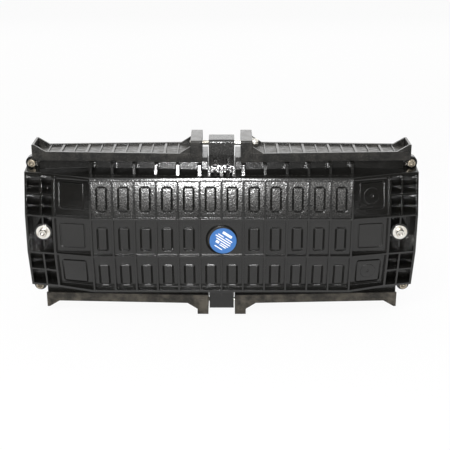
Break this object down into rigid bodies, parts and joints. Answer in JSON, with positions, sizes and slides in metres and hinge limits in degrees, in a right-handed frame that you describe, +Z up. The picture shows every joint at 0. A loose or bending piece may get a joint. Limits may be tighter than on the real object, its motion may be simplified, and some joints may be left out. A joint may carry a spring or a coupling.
{
  "type": "fibre splice closure",
  "caption": "Long ribbed two-part splice closure, sealed round its edge and clamped by sliding wedge rails, with cable ports at both ends and splice trays inside.",
  "frame": {"origin": "middle of the footprint of the lower rails' lugs, on the surface the closure stands on", "axes": "+X along the closure, -Y out of the front cover, +Z up from the lower rails to the upper rails"},
  "size_m": [0.4852, 0.112, 0.231],
  "materials": {
    "cover_plastic": "black moulded polypropylene, fine grain, semi-gloss",
    "rail_plastic": "black glass-filled moulding, fine grain",
    "steel": "stainless steel",
    "label": "printed film, blue",
    "rubber": "black rubber",
    "frame_metal": "sheet and bar, plain",
    "tray_plastic": "moulded, light grey",
    "lid_clear": "clear sheet",
    "knob_plastic": "moulded, black"
  },
  "bodies": {
    "housing": {"front_cover": "cover_plastic", "rear_cover": "cover_plastic", "label_disc": "label", "end_bolts": "steel", "end_washers": "steel", "end_nuts": "steel", "corner_screws": "steel", "corner_nuts": "steel", "frame_screws": "steel", "clamp_screws": "steel", "tray_studs": "steel", "seal_cord": "rubber", "left_port_plugs": "rubber", "right_port_plugs": "rubber", "lower_splice_comb": "rubber", "upper_splice_comb": "rubber", "tray_frame": "frame_metal", "lower_splice_tray": "tray_plastic", "upper_splice_tray": "tray_plastic", "tray_lid": "lid_clear", "tray_knobs": "knob_plastic", "left_cable_clamps": "frame_metal", "right_cable_clamps": "frame_metal"},
    "upper_right": {"upper_right_rail": "rail_plastic", "upper_tension_washer": "steel"},
    "upper_left": {"upper_left_rail": "rail_plastic", "upper_tension_nut": "steel"},
    "upper_screw": {"upper_tension_screw": "steel"},
    "lower_right": {"lower_right_rail": "rail_plastic", "lower_tension_washer": "steel"},
    "lower_left": {"lower_left_rail": "rail_plastic", "lower_tension_nut": "steel"},
    "lower_screw": {"lower_tension_screw": "steel"}
  },
  "joints": [
    {"name": "upper_right_slide", "type": "slide", "parent": "housing", "child": "upper_right", "axis": [1, 0, 0], "range_m": [-0.0067, 0.0019]},
    {"name": "upper_left_slide", "type": "slide", "parent": "housing", "child": "upper_left", "axis": [-1, 0, 0], "range_m": [-0.00672, 0.00192]},
    {"name": "upper_screw_turn", "type": "hinge", "parent": "upper_right", "child": "upper_screw", "pos_m": [0, 0, 0.2215], "axis": [1, 0, 0], "range_deg": [-4860, 1404]},
    {"name": "lower_right_slide", "type": "slide", "parent": "housing", "child": "lower_right", "axis": [1, 0, 0], "range_m": [0, 0.0086]},
    {"name": "lower_left_slide", "type": "slide", "parent": "housing", "child": "lower_left", "axis": [-1, 0, 0], "range_m": [0, 0.00862]},
    {"name": "lower_screw_turn", "type": "hinge", "parent": "lower_right", "child": "lower_screw", "pos_m": [0, 0, 0.0095], "axis": [1, 0, 0], "range_deg": [-36, 6228]}
  ],
  "couplings": [
    {"joint": "upper_left_slide", "follows": "upper_right_slide", "ratio": 1},
    {"joint": "upper_screw_turn", "follows": "upper_right_slide", "rad_per_m": 12566},
    {"joint": "lower_left_slide", "follows": "lower_right_slide", "ratio": 1},
    {"joint": "lower_screw_turn", "follows": "lower_right_slide", "rad_per_m": 12566}
  ]
}
